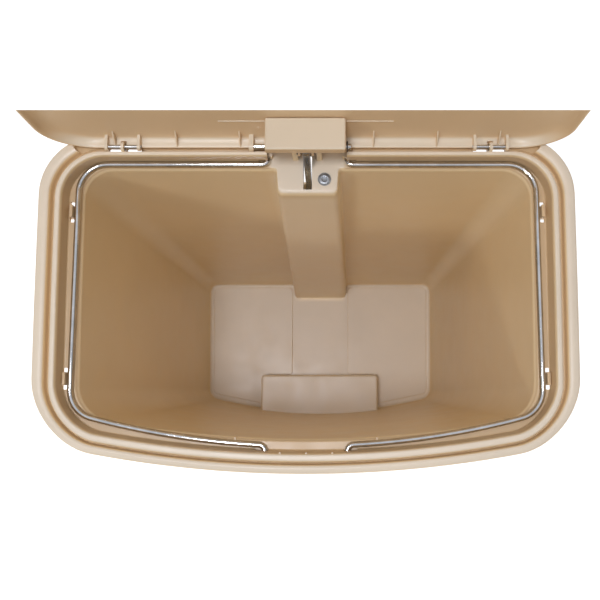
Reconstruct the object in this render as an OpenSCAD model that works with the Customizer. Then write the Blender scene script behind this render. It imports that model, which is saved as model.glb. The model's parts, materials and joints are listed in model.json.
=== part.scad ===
// Step-on waste bin: a tapered plastic tub with a hinged lid, a chrome bag wire in two halves,
// a hollow column that hides the lift bar, and a pedal lever under the floor.
// Millimetres. +X right, +Y towards the hinge, +Z up; the lid stands open.

/* [Body] */
// Width over the rim
rim_w = 500; // [440:5:560]
// Depth of the rim from its straight rear edge to the middle of its bowed front
rim_depth = 312.5; // [290:2.5:330]
// Height of the rim above the surface it stands on
rim_h = 640; // [600:5:700]
// Height of the inner floor
floor_h = 60; // [56:1:70]
// Thickness of the moulded walls
wall = 3; // [2.5:0.5:3.5]
// How far the middle of the front bows out beyond its corners
bow = 29; // [20:1:34]

/* [Lid] */
// Swing of the lid from closed to fully open
open_angle = 93; // [85:1:100]
// Crown of the lid above its hinge line
crown = 22; // [18:1:28]
// Width of the pivot box under the lid
box_w = 72; // [66:1:74]
// How far the pivot box reaches from the hinge line
box_u = 38; // [36:1:44]

/* [Lift linkage] */
// Lift pin in front of the hinge line, lid open
pin_out = 9; // [8:0.5:11]
// Lift pin above the hinge line, lid open
pin_up = 20; // [18:0.5:22]
// Width of the flat lift bar
bar_w = 10; // [9:0.5:11]
// Thickness of the lift bar
bar_t = 6; // [4:0.5:6.5]
// Length of the lever behind its pivot
rear_arm = 107.4; // [105:0.2:108]
// Length of the lever in front of its pivot
front_arm = 135; // [125:1:138]
// Width of the pedal
pedal_w = 170; // [140:2:174]

/* [Bag wire] */
// Diameter of the chrome wire
wire_d = 5.5; // [4.5:0.5:6]

/* [Hidden] */
$fn = 48;

// Rim rear edge; the open lid's dome reaches as far behind the origin as the front rim does ahead.
rim_back = 147.6;
half = rim_w / 2;
hinge_d = 12.5;
hinge_y = rim_back - hinge_d;
hinge_z = rim_h;
ledge_z = rim_h - 20;
lug_r = 7;
rod_r = 2.75;
side_pin_r = 1.75;
pin_r = 3;
fit = 0.06;
side_hinge_x = 171.8;
lid_screw_y = [-14, -30];
cover_screw_z = [140, 320, 500];

// Column that hides the lift bar
column_top = 30.3;
column_base = 44;
column_top_d = 52;
column_base_d = 78;
slot_w = 8.5;

// Lever: the bar's length and the lever's swing follow from the lift pin's two ends of travel.
pivot_d = 170;
pivot_y = rim_back - pivot_d;
lever_t = 8;
shoe_gap = 0.4;
shoe_z_open = 50;
pin_closed_out = pin_up * sin(open_angle) - pin_out * -cos(open_angle);
pin_closed_up = pin_up * cos(open_angle) - pin_out * sin(open_angle);
shoe_d = pivot_d - sqrt(rear_arm * rear_arm - 15.3 * 15.3);
bar_dy_open = shoe_d - hinge_d - pin_out;
bar_dz_open = hinge_z + pin_up - shoe_z_open;
bar_len = norm([bar_dy_open, bar_dz_open]);
bar_dy_closed = shoe_d - hinge_d - pin_closed_out;
bar_dz_closed = sqrt(bar_len * bar_len - bar_dy_closed * bar_dy_closed);
shoe_z_closed = hinge_z + pin_closed_up - bar_dz_closed;
lever_swing = asin((shoe_z_open - shoe_z_closed) / 2 / rear_arm);
pivot_z = (shoe_z_open + shoe_z_closed) / 2 - lever_t / 2 - shoe_gap;
bar_lean_open = atan2(bar_dy_open, bar_dz_open);
bar_lean_closed = atan2(bar_dy_closed, bar_dz_closed);
echo(pivot = [pivot_y, pivot_z], lever_total = 2 * lever_swing, pedal_ratio = -2 * lever_swing / open_angle,
    bar_ratio = -(open_angle - (bar_lean_open - bar_lean_closed)) / open_angle,
    hinge = [hinge_y, hinge_z], pin = [hinge_y - pin_out, hinge_z + pin_up]);

// Bag wire
wire_r = wire_d / 2;
wire_z = ledge_z + wire_r + 0.15;
wire_side = 217.4;
wire_back_d = 24.4;
wire_front_d = 288.8;
wire_x_end = 37.5;
wire_corner = 27;
wire_bow_r = 785;
wire_end_r = 6;

function back(d) = rim_back - d;
function warp(p, w, yr, yf, b) =
    let (t = min(1, max(0, (yr - p.y) / (yr - yf))))
    [p.x * (1 - 0.012 * t * t), p.y - b * (1 - pow(p.x / w, 2)) * t * t];
function arc(cx, cy, r, a0, a1, n) = [for (i = [0:n]) let (a = a0 + (a1 - a0) * i / n)
    [cx + r * cos(a), cy + r * sin(a)]];

// Plan outline, anticlockwise from the rear: w half width, dr and df how far its rear and front edges
// lie from the rim's rear edge, r corner radius, b bow of the front, bump half width and depth of the column.
function outline(w, dr, df, r, b, bump_w, bump_d) =
    let (yr = back(dr), yf = back(df) + b, yc = bump_d == 0 ? yr : back(bump_d),
        c = 2.5, cy = bump_d == 0 ? 0 : c,
        column = [[bump_w + c, yr], [bump_w, yr - cy], [bump_w - 1, yc + cy], [bump_w - 1 - c, yc]])
    [for (p = concat(column, [for (i = [3:-1:0]) [-column[i].x, column[i].y]],
        arc(-w + r, yr - r, r, 90, 180, 8),
        [for (i = [1:3]) [-w, yr - r + (yf - yr + 2 * r) * i / 4]],
        arc(-w + r, yf + r, r, 180, 270, 8),
        [for (i = [1:11]) [-w + r + (2 * w - 2 * r) * i / 12, yf]],
        arc(w - r, yf + r, r, 270, 360, 8),
        [for (i = [1:3]) [w, yf + r + (yr - yf - 2 * r) * i / 4]],
        arc(w - r, yr - r, r, 0, 90, 8))) warp(p, w, yr, yf, b)];

// Solid through a list of rings [w, dr, df, r, bow, z, bump_w, bump_d], closed by a fan at each end.
module ring_solid(rings) {
    loops = [for (g = rings) [for (p = outline(g[0], g[1], g[2], g[3], g[4], g[6], g[7])) [p.x, p.y, g[5]]]];
    n = len(loops[0]);
    last = len(loops) - 1;
    centre_y = back((rings[0][1] + rings[0][2]) / 2);
    points = concat([for (l = loops) each l],
        [[0, centre_y, rings[0][5]], [0, centre_y, rings[last][5]]]);
    faces = concat(
        [for (j = [0:n - 1]) [n * (last + 1), (j + 1) % n, j]],
        [for (k = [0:last - 1], j = [0:n - 1]) each [
            [k * n + j, k * n + (j + 1) % n, (k + 1) * n + (j + 1) % n],
            [k * n + j, (k + 1) * n + (j + 1) % n, (k + 1) * n + j]]],
        [for (j = [0:n - 1]) [last * n + j, last * n + (j + 1) % n, n * (last + 1) + 1]]);
    polyhedron(points, faces, convexity = 10);
}

// Box between two distances from the rim's rear edge
module slab(x0, x1, d0, d1, z0, z1) {
    translate([x0, back(d1), z0]) cube([x1 - x0, d1 - d0, z1 - z0]);
}
module rod_x(x0, x1, r) {
    translate([x0, 0, 0]) rotate([0, 90, 0]) cylinder(h = x1 - x0, r = r);
}
module at_hinge() {
    translate([0, hinge_y, hinge_z]) children();
}
// The closed lid's place: origin on the hinge line, -Y forwards; swung up to the open pose.
module lid_place() {
    at_hinge() rotate([-open_angle, 0, 0]) children();
}
module lever_place() {
    translate([0, pivot_y, pivot_z]) rotate([lever_swing, 0, 0]) children();
}
module mirror_x() {
    children();
    mirror([1, 0, 0]) children();
}

// --- Body ---
module tub() {
    f = floor_h;
    l = ledge_z;
    h = rim_h;
    ring_solid([
        [150, 84, 240, 12, 20, f, 48, 0],
        [181, 60, 268, 12, 24, f, 43, 81],
        [184, 57.6, 270.6, 14, 24, f + 2, 44, 79],
        [185.4, 56.4, 271.4, 15, 24, f + 8, 44, column_base_d],
        [213.4, 28.4, 282.6, 27, 22, l - 5, column_top + 0.2, column_top_d + 0.5],
        [214.4, 27.4, 283.5, 28, 22, l - 1, column_top, column_top_d],
        [215.6, 26.4, 284.6, 29, 22, l, column_top - 0.8, column_top_d - 1],
        [226.8, 21.2, 292.8, 37, 24, l, 24, 0],
        [228.2, 20.8, 294.6, 39, 25, h - 3, 24, 0],
        [229.6, 20, 296, 40, 25, h, 24, 0],
        [231.8, 18.2, 297.6, 42, 26, h, 24, 0],
        [232.8, 17.2, 298.8, 43, 26, h - 2, 24, 0],
        [233, 17, 299.2, 43, 26, h - 7, 24, 0],
        [238.4, 11.6, 303, 47, 27, h - 7, 24, 0],
        [239.4, 10.6, 304, 48, 27, h - 2, 24, 0],
        [242.6, 7.4, 306.4, 51, 28, h, 24, 0],
        [247.4, 2.6, 310.4, 54, 29, h - 1.2, 24, 0],
        [half, 0, rim_depth, 56, bow, h - 5, 24, 0],
        [half, 0, rim_depth, 56, bow, h - 28, 24, 0],
        [half - wall, wall, rim_depth - wall, 54, bow, h - 28, 24, 0],
        [half - wall, wall, rim_depth - wall, 54, bow, h - 10, 24, 0],
        [235, 14, 301, 44, 26, h - 10, 24, 0],
        [230, 18, 296, 40, 25, l - wall, 24, 0],
        [217, 25, 287, 30, 22, l - wall, column_top - wall, column_top_d - wall],
        [188.5, 53.4, 274.4, 18, 24, f, column_base - wall, column_base_d - 2.2],
        [188.4, 53.5, 274.3, 18, 24, f - 0.5, column_base - wall, 0],
        [186, 55.5, 272.5, 17, 24, 8, 24, 0],
        [183, 58.5, 269.5, 14, 24, 8, 24, 0],
        [185, 57, 271, 15, 24, f - wall, 24, 0]]);
}
module floor_pads() {
    mirror_x() translate([0, 0, floor_h - 1]) linear_extrude(3) polygon(concat(
        arc(-178 + 7, back(63) - 7, 7, 90, 180, 6),
        arc(-176 + 7, back(241) + 7, 7, 180, 260, 6),
        [[-95.5, back(256)], [-95.5, back(208.5)], [-46, back(208.5)], [-46, back(63)]]));
    slab(-42.5, 42.5, 82, 208, floor_h - 1, floor_h + 1.4);
}
module toe_box(w, d0, d1, z0, z1, b) {
    translate([0, 0, z0]) linear_extrude(z1 - z0) polygon(concat(
        [[w, back(d0)], [-w, back(d0)]],
        [for (i = [0:8]) let (x = -w + 2 * w * i / 8) [x, back(d1) + b * pow(x / 186, 2)]]));
}
module hinge_lug(x0, x1, r) {
    at_hinge() rod_x(x0, x1, r);
    slab(x0, x1, hinge_d - r, hinge_d + r, ledge_z - 1, hinge_z);
}
module bin_body() {
    color("tan") difference() {
        union() {
            difference() {
                tub();
                // Seat for the pivot box, and the lowered rear flange under the open lid
                slab(-37.4, 37.4, 4, 24, ledge_z, rim_h + 1);
                slab(-219, 219, -1, 17.1, rim_h - 8, rim_h + 1);
                // Toe space cut through the front wall
                toe_box(90.2, 214, 330, 0, 102, 0);
                // Way down for the lift bar from the column into the base
                slab(-30, 30, 56, 76.5, floor_h - wall - 1, floor_h + 1);
                slab(-9, 9, 56, 60, 28, floor_h);
            }
            difference() {
                toe_box(93.2, 211, 274, floor_h - wall, 105, 24);
                toe_box(90.2, 214, 330, 0, 102, 0);
            }
            floor_pads();
            slab(-40.4, 40.4, 4, 24.5, ledge_z - wall, ledge_z);
            mirror_x() {
                slab(37.4, 40.4, 3, 21, ledge_z - wall, rim_h - 8);
                // Boss for the rear end of the bag wire
                slab(33.4, 43, 14.5, 21, ledge_z - 1, ledge_z + 8);
                hinge_lug(8.5, 14, lug_r);
                at_hinge() rod_x(side_hinge_x - 1.4, side_hinge_x + 1.4, 4.6);
                slab(side_hinge_x - 1.4, side_hinge_x + 1.4, hinge_d - 4.6, hinge_d + 4, rim_h - 10, rim_h);
                for (d = [84, 242]) translate([163, back(d), 8]) cylinder(h = floor_h - wall - 7.5, r = 12);
            }
        }
        // Slot for the lift bar and bore for the guide's bolt
        slab(-slot_w / 2, slot_w / 2, 14.5, column_top_d - wall - 1, ledge_z - wall - 1, ledge_z + 1);
        translate([16.2, back(38), ledge_z - wall - 1]) cylinder(h = wall + 2, r = 4.1);
        at_hinge() rod_x(-60, 60, rod_r + fit);
        mirror_x() {
            at_hinge() rod_x(side_hinge_x - 5, side_hinge_x + 5, side_pin_r + fit);
            // Windows beside each side hinge
            for (s = [-1, 1]) slab(side_hinge_x + s * 8.4 - 6.6, side_hinge_x + s * 8.4 + 6.6,
                11.5, 16.6, rim_h - 14, rim_h);
            // Bores and pockets for the bag wire's ends, slots for its clips
            translate([wire_x_end, back(22), wire_z]) rotate([-90, 0, 0]) cylinder(h = 8, r = wire_r + fit);
            for (d = [[18.2, 22], [290.5, 293.9]])
                slab(wire_x_end - 3.2, wire_x_end + 9, d[0], d[1], ledge_z + 0.02, wire_z + 3.2);
            translate([wire_x_end, back(303), wire_z]) rotate([-90, 0, 0]) cylinder(h = 12, r = wire_r + fit);
            for (d = [70, 227.6]) slab(221.2, 225.4, d - 10, d + 10, ledge_z - wall - 1, ledge_z + 1);
            for (d = [84, 242]) translate([163, back(d), 7]) cylinder(h = 30, r = 5);
            // Pilot holes for the rear cover's screws
            for (z = cover_screw_z) translate([cover_screw_x(z), back(wall_back_d(z) + 6), z])
                rotate([-90, 0, 0]) cylinder(h = 8, r = 1.6);
        }
        // Pilot holes for the lever bracket's screws
        mirror_x() for (s = [-1, 1]) translate([24, pivot_y + s * 14, floor_h - wall - 1])
            cylinder(h = 2.6, r = 1.6);
    }
}
// Rear wall's distance from the rim's rear edge at height z, and where the cover's screws sit
function wall_back_d(z) = 53.4 + (25 - 53.4) * (z - floor_h) / (ledge_z - wall - floor_h);
function column_half(z) = column_base - wall
    + (column_top - column_base) * (z - floor_h) / (ledge_z - wall - floor_h);
function cover_screw_x(z) = column_half(z) + 9;

// Closes the column's open back; a shallow trough that leaves room for the bar.
module rear_cover() {
    depth = 14.5;
    z0 = 62;
    z1 = 530;
    function row(z, half_in, d) = [[-half_in, back(d), z], [half_in, back(d), z]];
    function prism(out, dd) = concat(row(z0, column_half(z0) + out, wall_back_d(z0) - dd),
        row(z1, column_half(z1) + out, wall_back_d(z1) - dd));
    module wedge(out, d_front, d_back) {
        polyhedron(concat(prism(out, d_front), prism(out, d_back)), [
            [0, 2, 3, 1], [5, 7, 6, 4], [0, 1, 5, 4], [2, 6, 7, 3], [1, 3, 7, 5], [0, 4, 6, 2]]);
    }
    color("tan") difference() {
        union() {
            wedge(14, 0.1, 2.6);
            wedge(4, 2, depth);
        }
        wedge(1.4, -1, depth - 2.4);
        mirror_x() for (z = cover_screw_z) translate([cover_screw_x(z), back(wall_back_d(z) + 2), z])
            rotate([-90, 0, 0]) cylinder(h = 8, r = 2.1);
    }
}
module pan_screw(r, head_r, head_h, len) {
    cylinder(h = head_h, r = head_r);
    translate([0, 0, -len]) cylinder(h = len, r = r);
}
module rear_cover_screws() {
    color("silver") mirror_x() for (z = cover_screw_z)
        translate([cover_screw_x(z), back(wall_back_d(z)) + 2.75, z]) rotate([-90, 0, 0])
            pan_screw(1.5, 3.6, 2, 5);
}
// Slotted slide under the column's top that keeps the bar upright
module bar_guide() {
    color("ivory") difference() {
        slab(-20, 24, 16, 48.4, ledge_z - wall - 9, ledge_z - wall - 0.1);
        slab(-slot_w / 2 + 0.15, slot_w / 2 - 0.15, 10, 47, ledge_z - wall - 10, ledge_z);
        translate([16.2, back(38), ledge_z - wall - 10]) cylinder(h = 12, r = 3);
    }
}
module guide_bolt() {
    color("gray") translate([16.2, back(38), ledge_z + 0.05]) {
        cylinder(h = 0.8, r = 6.4);
        translate([0, 0, 0.8]) cylinder(h = 1.3, r1 = 6, r2 = 4.9);
        translate([0, 0, -16]) cylinder(h = 16, r = 2.9);
    }
}
module lever_bracket() {
    color("silver") difference() {
        union() {
            slab(-32, 32, pivot_d - 22, pivot_d + 22, floor_h - wall - 2.6, floor_h - wall - 0.1);
            mirror_x() {
                slab(15.4, 17.9, pivot_d - 12, pivot_d + 12, pivot_z, floor_h - wall - 1);
                translate([0, pivot_y, pivot_z]) rod_x(15.4, 17.9, 12);
            }
        }
        translate([0, pivot_y, pivot_z]) rod_x(-20, 20, 4 + fit);
        mirror_x() for (s = [-1, 1]) translate([24, pivot_y + s * 14, 40]) cylinder(h = 30, r = 2);
    }
}
module bracket_screws() {
    color("silver") mirror_x() for (s = [-1, 1])
        translate([24, pivot_y + s * 14, floor_h - wall - 2.7]) rotate([180, 0, 0])
            pan_screw(1.5, 3.6, 2.2, 4);
}
module lever_pin() {
    color("silver") translate([0, pivot_y, pivot_z]) rod_x(-21, 21, 4);
}
module lever_pin_clips() {
    color("dimgray") mirror_x() translate([0, pivot_y, pivot_z]) difference() {
        rod_x(18.3, 19.4, 7);
        rod_x(18, 20, 4.05);
    }
}
module rubber_feet() {
    color("dimgray") mirror_x() for (d = [84, 242]) translate([163, back(d), 0]) {
        cylinder(h = 1.5, r1 = 12, r2 = 13.5);
        translate([0, 0, 1.5]) cylinder(h = 6.4, r = 13.5);
        translate([0, 0, 7.9]) cylinder(h = 16, r = 4.9);
    }
}
// Snap tabs beside the bag wire, hooked through the ledge
module wire_clips() {
    color("wheat") mirror_x() for (d = [70, 227.6]) {
        slab(221.5, 224.2, d - 6, d + 6, ledge_z - wall - 3, ledge_z + 6.5);
        slab(221.5, 226.2, d - 6, d + 6, ledge_z - wall - 3, ledge_z - wall - 0.3);
    }
}

// --- Lid, drawn closed with its origin on the hinge line ---
module lid_rings() {
    c = crown;
    translate([0, -hinge_y, 0]) ring_solid([
        [60, 128, 172, 16, 4, c, 24, 0],
        [150, 70, 224, 28, 14, c - 3, 24, 0],
        [225, 15, 284, 40, 24, 14.2, 24, 0],
        [234, 9, 292, 43, 25, 11.6, 24, 0],
        [238.6, 7.4, 296.6, 45, 26, 6.6, 24, 0],
        [240.2, 7, 298, 46, 26, 0.3, 24, 0],
        [237.4, 9.8, 295.4, 43, 25, 0.3, 24, 0],
        [234.4, 10.2, 293.2, 41, 25, 5.4, 24, 0],
        [229, 11.4, 288.6, 38, 24, 9.2, 24, 0],
        [222, 16, 283, 35, 23, 10.4, 24, 0],
        [150, 72, 222, 26, 14, c - 6.6, 24, 0],
        [60, 130, 170, 14, 4, c - 4.2, 24, 0]]);
}
module lid_shell() {
    color("burlywood") lid_place() difference() {
        union() {
            lid_rings();
            // Gussets between the rear skirt and the plate
            mirror_x() for (x = [62.3, 121.5, 179.4]) translate([x - 1, 0, 0]) rotate([90, 0, 90])
                linear_extrude(2) polygon([[3.4, 0.8], [3.4, 10], [-2, 12], [-16, 12], [-14, 10.4]]);
            // Ears that hold the side pins, and the boss at the rod's long end
            mirror_x() for (s = [-1, 1]) {
                rod_x(side_hinge_x + s * 15.1 - 1.5, side_hinge_x + s * 15.1 + 1.5, 3.9);
                translate([side_hinge_x + s * 15.1 - 1.5, -3.9, 0]) cube([3, 7.8, 10.6]);
            }
            rod_x(-54, -49.4, 4.5);
            translate([-54, -4.5, 0]) cube([4.6, 9, 11]);
            mirror_x() for (y = lid_screw_y) translate([22, y, 8]) cylinder(h = 6, r = 4.5);
        }
        // Clearance for the body's lugs
        translate([-15.5, 1, -1]) cube([31, 6, 9.6]);
        mirror_x() translate([side_hinge_x - 2.6, 1.5, -1]) cube([5.2, 6, 7.4]);
        rod_x(-60, 60, rod_r);
        rod_x(36.9, 38.7, 5.2);
        mirror_x() rod_x(side_hinge_x - 20, side_hinge_x + 20, side_pin_r);
        mirror_x() for (y = lid_screw_y) translate([22, y, 7]) cylinder(h = 6, r = 1.6);
    }
}
// Box under the lid that carries the rod and the lift pin
module lid_box() {
    hw = box_w / 2;
    t = 2.4;
    module cheek(x0, x1, pts) {
        translate([x0, 0, 0]) rotate([90, 0, 90]) linear_extrude(x1 - x0) polygon(pts);
    }
    deep = -17.4;
    side = [[1.9, 4.8], [1.9, -3], [-1, -6.5], [-20, -8], [-28.5, deep], [-box_u, deep],
        [-box_u, 12.8], [-4.2, 9.8], [0.6, 8.2]];
    rib = [[-10, 9], [-10, -7], [-14, -14.5], [-25, -14.5], [-27.5, -8], [-27.5, 10]];
    color("wheat") lid_place() difference() {
        union() {
            mirror_x() {
                cheek(hw - t, hw, side);
                cheek(5, 7.4, rib);
                for (y = lid_screw_y) translate([22, y, 2]) cylinder(h = 5.9, r = 4.5);
                cheek(7.2, hw - t + 0.1, [[-12, 4], [-12, 6.4], [-box_u + 1, 6.4], [-box_u + 1, 4]]);
            }
            // Front wall and the wall under the pin's space
            cheek(-hw, hw, [[-box_u, 12.8], [-box_u, deep], [-box_u + t, deep], [-box_u + t, 12.6]]);
            cheek(-hw, hw, [[-28.5, deep], [-28.5, deep + t], [-box_u, deep + t], [-box_u, deep]]);
        }
        rod_x(-hw - 1, hw + 1, rod_r);
        translate([0, -pin_closed_out, pin_closed_up]) rod_x(-12, 12, pin_r);
        mirror_x() for (y = lid_screw_y) translate([22, y, 0]) cylinder(h = 12, r = 2.1);
    }
}
module lid_box_screws() {
    color("silver") lid_place() mirror_x() for (y = lid_screw_y) translate([22, y, 1.9])
        rotate([180, 0, 0]) pan_screw(1.5, 3.6, 2, 10);
}
module hinge_rod() {
    color("silver") lid_place() rod_x(-53, 42, rod_r);
}
module hinge_rod_clip() {
    color("silver") lid_place() difference() {
        rod_x(37.2, 38.4, 5);
        rod_x(37, 39, rod_r);
    }
}
module side_pin() {
    lid_place() rod_x(side_hinge_x - 17, side_hinge_x + 17, side_pin_r);
}
module side_pin_right() {
    color("silver") side_pin();
}
module side_pin_left() {
    color("silver") mirror([1, 0, 0]) side_pin();
}
module lift_pin() {
    color("silver") at_hinge() translate([0, -pin_out, pin_up]) rod_x(-10.4, 10.4, pin_r);
}
module lift_pin_clips() {
    color("dimgray") at_hinge() translate([0, -pin_out, pin_up]) mirror_x() difference() {
        rod_x(7.7, 8.3, 5);
        rod_x(7, 9, pin_r);
    }
}

// --- Lift bar, drawn hanging from its pin ---
module bar_place() {
    at_hinge() translate([0, -pin_out, pin_up]) rotate([-bar_lean_open, 0, 0]) children();
}
module lift_bar() {
    color("silver") bar_place() difference() {
        union() {
            rod_x(-bar_t / 2, bar_t / 2, 6.6);
            translate([-bar_t / 2, -bar_w / 2, -bar_len + 8]) cube([bar_t, bar_w, bar_len - 8]);
        }
        rod_x(-5, 5, pin_r + fit);
    }
}
// Nylon shoe on the bar's foot, round underneath where it rides on the lever
module bar_shoe() {
    color("ivory") bar_place() translate([0, 0, -bar_len]) difference() {
        union() {
            translate([0, 0, bar_w / 2]) rod_x(-7, 7, bar_w / 2);
            translate([-7, -bar_w / 2, bar_w / 2]) cube([14, bar_w, 16.5]);
        }
        translate([-bar_t / 2, -10, 8]) cube([bar_t, 20, 20]);
    }
}

// --- Pedal lever, drawn level with its origin on the pivot ---
module pedal_lever() {
    color("silver") lever_place() difference() {
        union() {
            rod_x(-14.8, 14.8, 8);
            translate([-12, -front_arm + 6, -lever_t / 2]) cube([24, front_arm + rear_arm - 3, lever_t]);
        }
        rod_x(-20, 20, 4 + fit);
        for (y = [-80, -118]) translate([0, y, -10]) cylinder(h = 20, r = 2.2);
    }
}
module pedal_outline(w, y0, y1, r) {
    hull() mirror_x() for (y = [y0 + r, y1 - r]) translate([w / 2 - r, y]) circle(r = r);
}
module pedal_pad() {
    color("tan") lever_place() difference() {
        translate([0, 0, lever_t / 2 + 0.05]) linear_extrude(8) pedal_outline(pedal_w, -front_arm, -62, 9);
        translate([0, 0, lever_t / 2 + 6.4]) linear_extrude(4)
            pedal_outline(pedal_w - 16, -front_arm + 8, -70, 5);
        for (y = [-80, -118]) translate([0, y, 0]) cylinder(h = 8, r = 1.6);
    }
}
module pedal_tread() {
    color("dimgray") lever_place() translate([0, 0, lever_t / 2 + 6.45]) {
        linear_extrude(1.6) pedal_outline(pedal_w - 16.4, -front_arm + 8.2, -70.2, 5);
        for (y = [-front_arm + 14:8:-74]) translate([-pedal_w / 2 + 16, y - 1.5, 1.5])
            cube([pedal_w - 32, 3, 1.3]);
    }
}
module pedal_screws() {
    color("silver") lever_place() for (y = [-80, -118]) translate([0, y, -lever_t / 2 - 0.05])
        rotate([180, 0, 0]) pan_screw(1.5, 3.8, 1.8, 11);
}

// --- Bag wire, the right half ---
// Round bar along a level path: a ring of points square to the path at each of its points.
module level_sweep(path, r, sides) {
    n = len(path);
    function along(i) = let (v = path[min(n - 1, i + 1)] - path[max(0, i - 1)]) v / norm(v);
    points = [for (i = [0:n - 1]) let (t = along(i)) for (k = [0:sides - 1]) let (a = 360 * k / sides)
        [path[i].x - t.y * r * cos(a), path[i].y + t.x * r * cos(a), r * sin(a)]];
    faces = concat([[for (k = [0:sides - 1]) k]],
        [for (i = [0:n - 2], k = [0:sides - 1]) let (m = (k + 1) % sides) each [
            [i * sides + k, (i + 1) * sides + k, (i + 1) * sides + m],
            [i * sides + k, (i + 1) * sides + m, i * sides + m]]],
        [[for (k = [sides - 1:-1:0]) (n - 1) * sides + k]]);
    polyhedron(points, faces, convexity = 6);
}
module bag_wire() {
    back_y = back(wire_back_d);
    bow_y = back(wire_front_d) + wire_bow_r;
    corner_x = wire_side - wire_corner;
    corner_y = bow_y - sqrt(pow(wire_bow_r - wire_corner, 2) - corner_x * corner_x);
    corner_a = acos((bow_y - corner_y) / (wire_bow_r - wire_corner));
    // Where the bowed stretch turns into the straight front end
    end_x = wire_x_end + wire_end_r;
    end_a = asin(end_x / (wire_bow_r + wire_end_r));
    end_y = bow_y - (wire_bow_r + wire_end_r) * cos(end_a);
    path = concat(
        [[wire_x_end, back_y + wire_end_r + 1.5]],
        arc(end_x, back_y + wire_end_r, wire_end_r, 180, 270, 5),
        arc(corner_x, back_y - wire_corner, wire_corner, 90, 0, 7),
        arc(corner_x, corner_y, wire_corner, 0, corner_a - 90, 7),
        arc(0, bow_y, wire_bow_r, corner_a - 91, end_a - 90, 9),
        arc(end_x, end_y, wire_end_r, 90 + end_a, 180, 5),
        [[wire_x_end, end_y - 1.5]]);
    translate([0, 0, wire_z]) level_sweep(path, wire_r - 0.02, 14);
    // Straight ends that turn in the body's bores
    translate([wire_x_end, back_y + wire_end_r + 0.5, wire_z]) rotate([-90, 0, 0])
        cylinder(h = back(15.4) - back_y - wire_end_r - 0.5, r = wire_r);
    translate([wire_x_end, back(299), wire_z]) rotate([-90, 0, 0])
        cylinder(h = end_y - 0.5 - back(299), r = wire_r);
}
module bag_wire_right() {
    color("silver") bag_wire();
}
module bag_wire_left() {
    color("silver") mirror([1, 0, 0]) bag_wire();
}

bin_body();
rear_cover();
rear_cover_screws();
bar_guide();
guide_bolt();
lever_bracket();
bracket_screws();
lever_pin();
lever_pin_clips();
rubber_feet();
wire_clips();
lid_shell();
lid_box();
lid_box_screws();
hinge_rod();
hinge_rod_clip();
side_pin_left();
side_pin_right();
lift_pin();
lift_pin_clips();
lift_bar();
bar_shoe();
pedal_lever();
pedal_pad();
pedal_tread();
pedal_screws();
bag_wire_left();
bag_wire_right();
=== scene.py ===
"""Looks for the step-on waste bin: moulded shells, chrome wire, steel lift bar, light and camera.

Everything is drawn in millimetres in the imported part's frame and scaled to metres for each mesh.
Depths are given as in the part: the distance forward from the rim's straight rear edge.
"""

import json
import math

import bmesh
import bpy
from mathutils import Matrix, Vector


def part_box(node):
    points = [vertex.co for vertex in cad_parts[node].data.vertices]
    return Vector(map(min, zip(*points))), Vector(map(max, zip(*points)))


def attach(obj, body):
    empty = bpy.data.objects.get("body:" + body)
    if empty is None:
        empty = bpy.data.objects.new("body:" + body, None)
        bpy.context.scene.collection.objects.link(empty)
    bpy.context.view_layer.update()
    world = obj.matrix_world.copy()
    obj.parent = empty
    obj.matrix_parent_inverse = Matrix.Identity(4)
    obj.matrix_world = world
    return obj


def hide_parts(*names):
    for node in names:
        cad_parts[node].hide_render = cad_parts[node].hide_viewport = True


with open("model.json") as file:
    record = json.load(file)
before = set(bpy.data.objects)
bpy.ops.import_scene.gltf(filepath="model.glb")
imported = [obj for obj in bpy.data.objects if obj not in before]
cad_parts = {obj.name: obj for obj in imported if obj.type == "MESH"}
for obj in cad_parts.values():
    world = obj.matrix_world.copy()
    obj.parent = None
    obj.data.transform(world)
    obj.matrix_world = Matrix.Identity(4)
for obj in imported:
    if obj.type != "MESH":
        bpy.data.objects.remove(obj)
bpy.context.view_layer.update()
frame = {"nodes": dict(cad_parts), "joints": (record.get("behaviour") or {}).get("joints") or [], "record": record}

MM = 0.001


# --- Sizes read from the frame ---
def node_box(node):
    lo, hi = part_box(node)
    return lo / MM, hi / MM


def joint_place(name):
    joint = next(j for j in frame["joints"] if j["name"] == name)
    return Vector(joint["pos_m"]) / MM


BODY_LO = node_box("bin_body")[0]
HALF_W = 250
RIM_BACK = BODY_LO.y + 312.5
RIM_H = 640
FLOOR_H = 60
WALL = 3
LEDGE = RIM_H - 20
HINGE = joint_place("lid_hinge")
LIFT_PIN = joint_place("lift_bar_pivot")
LEVER_PIVOT = joint_place("pedal_pivot")
WIRE_Z = joint_place("wire_right_lift").z
OPEN_ANGLE = 93
PEDAL_RATIO = 0.176538
REAR_ARM = 107.4
SHOE_RISE = 15.3
SHOE_Z = 50
SHOE_Y = LEVER_PIVOT.y + math.sqrt(REAR_ARM**2 - SHOE_RISE**2)
BAR_LEAN = math.degrees(math.atan2(LIFT_PIN.y - SHOE_Y, LIFT_PIN.z - SHOE_Z))
BAR_LENGTH = math.hypot(LIFT_PIN.y - SHOE_Y, LIFT_PIN.z - SHOE_Z)
LEVER_SWING = OPEN_ANGLE * PEDAL_RATIO / 2
BOX_HALF = 36
SIDE_HINGE_X = 171.8
EAR_OFFSET = 15.1
ROD_R = 2.75
LUG_R = 7
WIRE_R = 2.75
WIRE_END_X = 37.5
WIRE_BEND = 6
CLIP_DEPTHS = (70, 227.6)
FOOT_X = 163
FOOT_DEPTHS = (84, 242)
BOLT_X, BOLT_DEPTH, BOLT_R, BOLT_HOLE_R = 16.2, 38, 2.9, 4.1
FRONT_NARROWING = 0.012
FLOOR_BOW, FLOOR_HALF = 24, 186
COLUMN_TOP, COLUMN_TOP_OUT = 30.3, 24.6
COLUMN_BASE, COLUMN_BASE_OUT = 44, 21
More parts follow.
